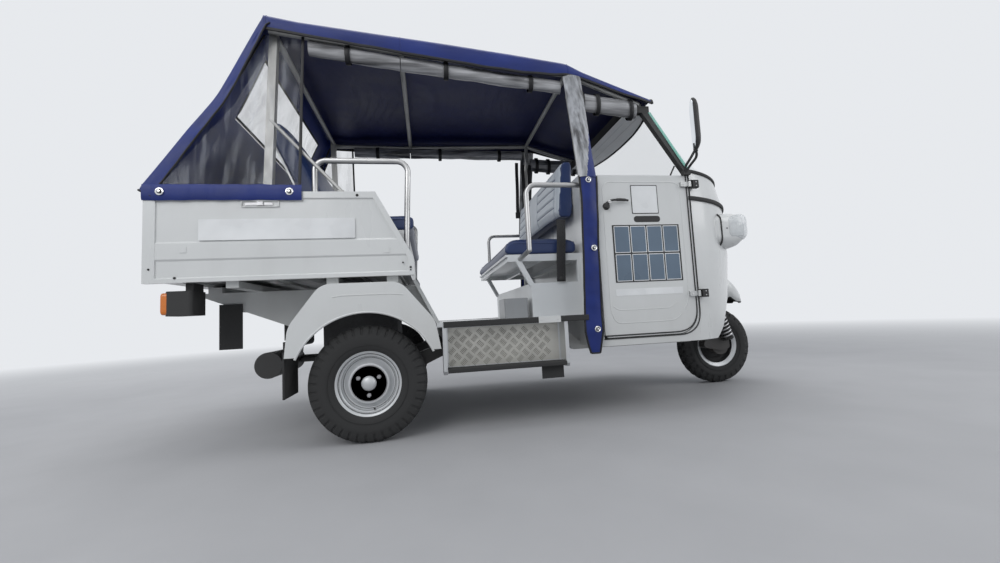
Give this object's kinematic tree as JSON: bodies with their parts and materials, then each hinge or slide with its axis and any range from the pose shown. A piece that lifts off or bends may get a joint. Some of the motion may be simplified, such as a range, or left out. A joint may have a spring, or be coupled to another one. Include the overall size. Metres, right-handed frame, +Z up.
{
  "type": "auto rickshaw",
  "caption": "Three-wheeled passenger rickshaw with half-door cab, two benches on an open platform, pick-up bed and soft top.",
  "frame": {"origin": "on the ground under the middle of the overall length and width", "axes": "+X forward, +Y to the vehicle's left, +Z up"},
  "size_m": [3.3534, 1.656, 1.94],
  "materials": {
    "white_paint": "gloss",
    "frame_paint": "satin",
    "white_frame": "satin",
    "tread_plate": "pressed",
    "black_rubber": "matt",
    "tyre_rubber": "matt",
    "rim_silver": "satin",
    "steel_tube": "polished",
    "canopy_cloth": "coated",
    "clear_sheet": "clear",
    "rolled_sheet": "coated",
    "navy_vinyl": "satin",
    "pale_vinyl": "satin",
    "pane": "clear",
    "black_plastic": "matt",
    "engine_metal": "cast",
    "lamp_lens": "clear",
    "tail_lens": "gloss"
  },
  "bodies": {
    "chassis": {"chassis_frame": "white_frame", "load_floor": "white_paint", "box_side_right": "white_paint", "box_side_left": "white_paint", "rear_fenders": "white_paint", "mud_flaps": "black_rubber", "bulkhead": "white_paint", "platform_floor": "tread_plate", "floor_nosings": "black_rubber", "side_steps": "tread_plate", "step_nosings": "black_rubber", "rear_bench_frame": "white_frame", "rear_bench_cushion": "navy_vinyl", "rear_bench_back": "navy_vinyl", "front_bench_box": "white_paint", "front_bench_cushion": "navy_vinyl", "front_bench_back": "pale_vinyl", "locker": "steel_tube", "rear_handrails": "steel_tube", "front_handrails": "steel_tube", "cab_shell": "white_paint", "cab_floor": "black_rubber", "door_hinge_brackets": "black_plastic", "windscreen_frame": "black_plastic", "windscreen_glass": "pane", "dashboard": "black_plastic", "driver_seat_box": "frame_paint", "driver_seat_cushion": "navy_vinyl", "driver_seat_back": "navy_vinyl", "front_mudguard": "white_paint", "headlamp_pods": "white_paint", "headlamp_lenses": "lamp_lens", "mirrors": "black_plastic", "steering_head": "frame_paint", "rear_axle": "frame_paint", "engine_block": "engine_metal", "silencer": "frame_paint", "canopy_frame": "steel_tube", "canopy_cover": "canopy_cloth", "rear_curtains": "clear_sheet", "curtain_bands": "canopy_cloth", "curtain_rolls": "rolled_sheet", "rear_lamps": "black_plastic", "rear_lamp_lenses": "tail_lens"},
    "tailgate": {"tailgate": "white_paint"},
    "door_right": {"door_right": "white_paint", "door_fittings_right": "black_plastic"},
    "door_left": {"door_left": "white_paint", "door_fittings_left": "black_plastic"},
    "steering": {"steering_stem": "frame_paint", "handlebar": "steel_tube", "front_link": "frame_paint", "front_spring": "steel_tube"},
    "front_wheel": {"front_tyre": "tyre_rubber", "front_rim": "rim_silver"},
    "rear_wheel_right": {"rear_right_tyre": "tyre_rubber", "rear_right_rim": "rim_silver"},
    "rear_wheel_left": {"rear_left_tyre": "tyre_rubber", "rear_left_rim": "rim_silver"}
  },
  "joints": [
    {"name": "tailgate_hinge", "type": "hinge", "parent": "chassis", "child": "tailgate", "pos_m": [-1.66375, 0, 0.738], "axis": [0, -1, 0], "range_deg": [0, 90]},
    {"name": "door_right_hinge", "type": "hinge", "parent": "chassis", "child": "door_right", "pos_m": [0.87025, -0.686, 0.8], "axis": [0, 0, 1], "range_deg": [0, 65]},
    {"name": "door_left_hinge", "type": "hinge", "parent": "chassis", "child": "door_left", "pos_m": [0.87025, 0.686, 0.8], "axis": [0, 0, -1], "range_deg": [0, 65]},
    {"name": "steering_turn", "type": "hinge", "parent": "chassis", "child": "steering", "pos_m": [1.22845, 0, 0.7], "axis": [-0.342, 0, 0.9397], "range_deg": [-35, 35]},
    {"name": "front_wheel_spin", "type": "hinge", "parent": "steering", "child": "front_wheel", "pos_m": [1.42325, 0, 0.2535], "axis": [0, 1, 0], "continuous": true},
    {"name": "rear_right_spin", "type": "hinge", "parent": "chassis", "child": "rear_wheel_right", "pos_m": [-0.79175, -0.635, 0.2585], "axis": [0, 1, 0], "continuous": true},
    {"name": "rear_left_spin", "type": "hinge", "parent": "chassis", "child": "rear_wheel_left", "pos_m": [-0.79175, 0.635, 0.2585], "axis": [0, 1, 0], "continuous": true}
  ]
}
